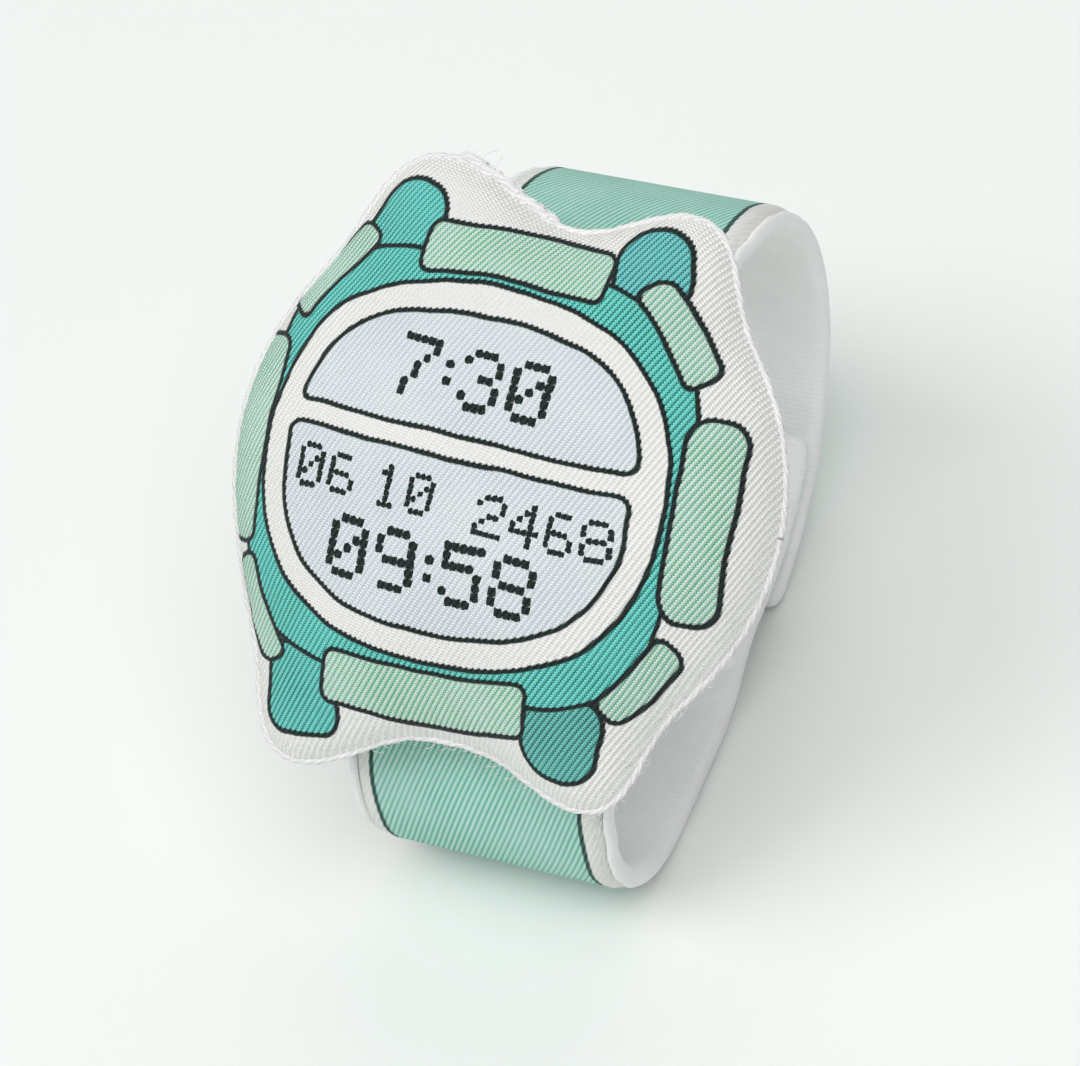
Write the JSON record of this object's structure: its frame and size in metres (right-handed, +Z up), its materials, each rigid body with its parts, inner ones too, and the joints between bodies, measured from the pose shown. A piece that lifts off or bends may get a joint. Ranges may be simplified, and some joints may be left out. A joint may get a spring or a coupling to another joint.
{
  "type": "toy watch",
  "caption": "Soft sewn toy watch: a stuffed cloth head with a printed face on a padded strap that opens and closes by a peel-off lap.",
  "frame": {"origin": "on the table under the middle of the toy's bounding box", "axes": "+Z up, +X towards 3 o'clock along the strap's width, +Y towards the 12 o'clock side of the loop"},
  "size_m": [0.061, 0.0818, 0.0747],
  "materials": {
    "printed_face": "printed polyester twill",
    "plain_cloth": "white twill",
    "wadding": "loose polyester wadding",
    "edge_seam": "turned and stitched twill edge",
    "thread": "white sewing thread",
    "strap_cover": "printed polyester twill",
    "strap_core": "needled padding sheet",
    "strap_lining": "white velour",
    "hook_patch": "woven tape with fine hooks",
    "loop_patch": "brushed loop tape"
  },
  "bodies": {
    "head": {"face_front_panel": "printed_face", "face_back_panel": "plain_cloth", "face_filling": "wadding", "face_edge_seam": "edge_seam", "closing_stitches": "thread", "tack_stitches": "thread", "head_strap_cover": "strap_cover", "head_strap_core": "strap_core", "head_strap_lining": "strap_lining"},
    "upper_1": {"upper_1_cover": "strap_cover", "upper_1_core": "strap_core", "upper_1_lining": "strap_lining"},
    "upper_2": {"upper_2_cover": "strap_cover", "upper_2_core": "strap_core", "upper_2_lining": "strap_lining"},
    "upper_3": {"upper_3_cover": "strap_cover", "upper_3_core": "strap_core", "upper_3_lining": "strap_lining"},
    "closure_tab": {"tab_cover": "strap_cover", "tab_core": "strap_core", "tab_lining": "strap_lining", "hook_patch": "hook_patch", "hook_stitches": "thread"},
    "lower_1": {"lower_1_cover": "strap_cover", "lower_1_core": "strap_core", "lower_1_lining": "strap_lining"},
    "lower_2": {"lower_2_cover": "strap_cover", "lower_2_core": "strap_core", "lower_2_lining": "strap_lining"},
    "lower_3": {"lower_3_cover": "strap_cover", "lower_3_core": "strap_core", "lower_3_lining": "strap_lining"},
    "lower_4": {"lower_4_cover": "strap_cover", "lower_4_core": "strap_core", "lower_4_lining": "strap_lining", "loop_patch": "loop_patch", "loop_stitches": "thread"}
  },
  "joints": [
    {"name": "strap_open", "type": "hinge", "parent": "head", "child": "upper_1", "pos_m": [0, 0.01231, 0.058], "axis": [1, 0, 0], "range_deg": [0, 30]},
    {"name": "upper_2_bend", "type": "hinge", "parent": "upper_1", "child": "upper_2", "pos_m": [0, 0.03086, 0.05091], "axis": [1, 0, 0], "range_deg": [0, 42.1]},
    {"name": "upper_3_bend", "type": "hinge", "parent": "upper_2", "child": "upper_3", "pos_m": [0, 0.0405, 0.03356], "axis": [1, 0, 0], "range_deg": [0, 42.1]},
    {"name": "tab_peel", "type": "hinge", "parent": "upper_3", "child": "closure_tab", "pos_m": [0, 0.03672, 0.01406], "axis": [1, 0, 0], "range_deg": [0, 60]},
    {"name": "lower_1_bend", "type": "hinge", "parent": "head", "child": "lower_1", "pos_m": [0, -0.03461, 0.01943], "axis": [1, 0, 0], "range_deg": [-13.3, 0]},
    {"name": "lower_2_bend", "type": "hinge", "parent": "lower_1", "child": "lower_2", "pos_m": [0, -0.02954, 0.00575], "axis": [1, 0, 0], "range_deg": [-18.1, 0]},
    {"name": "lower_3_bend", "type": "hinge", "parent": "lower_2", "child": "lower_3", "pos_m": [0, -0.01614, 0], "axis": [1, 0, 0], "range_deg": [-13.9, 0]},
    {"name": "lower_4_bend", "type": "hinge", "parent": "lower_3", "child": "lower_4", "pos_m": [0, 0.01186, 0.00475], "axis": [1, 0, 0], "range_deg": [-8.2, 0]}
  ],
  "couplings": [
    {"joint": "upper_2_bend", "follows": "strap_open", "ratio": 1.4},
    {"joint": "upper_3_bend", "follows": "strap_open", "ratio": 1.4},
    {"joint": "lower_1_bend", "follows": "strap_open", "ratio": -0.44},
    {"joint": "lower_2_bend", "follows": "strap_open", "ratio": -0.6},
    {"joint": "lower_3_bend", "follows": "strap_open", "ratio": -0.46},
    {"joint": "lower_4_bend", "follows": "strap_open", "ratio": -0.27}
  ]
}
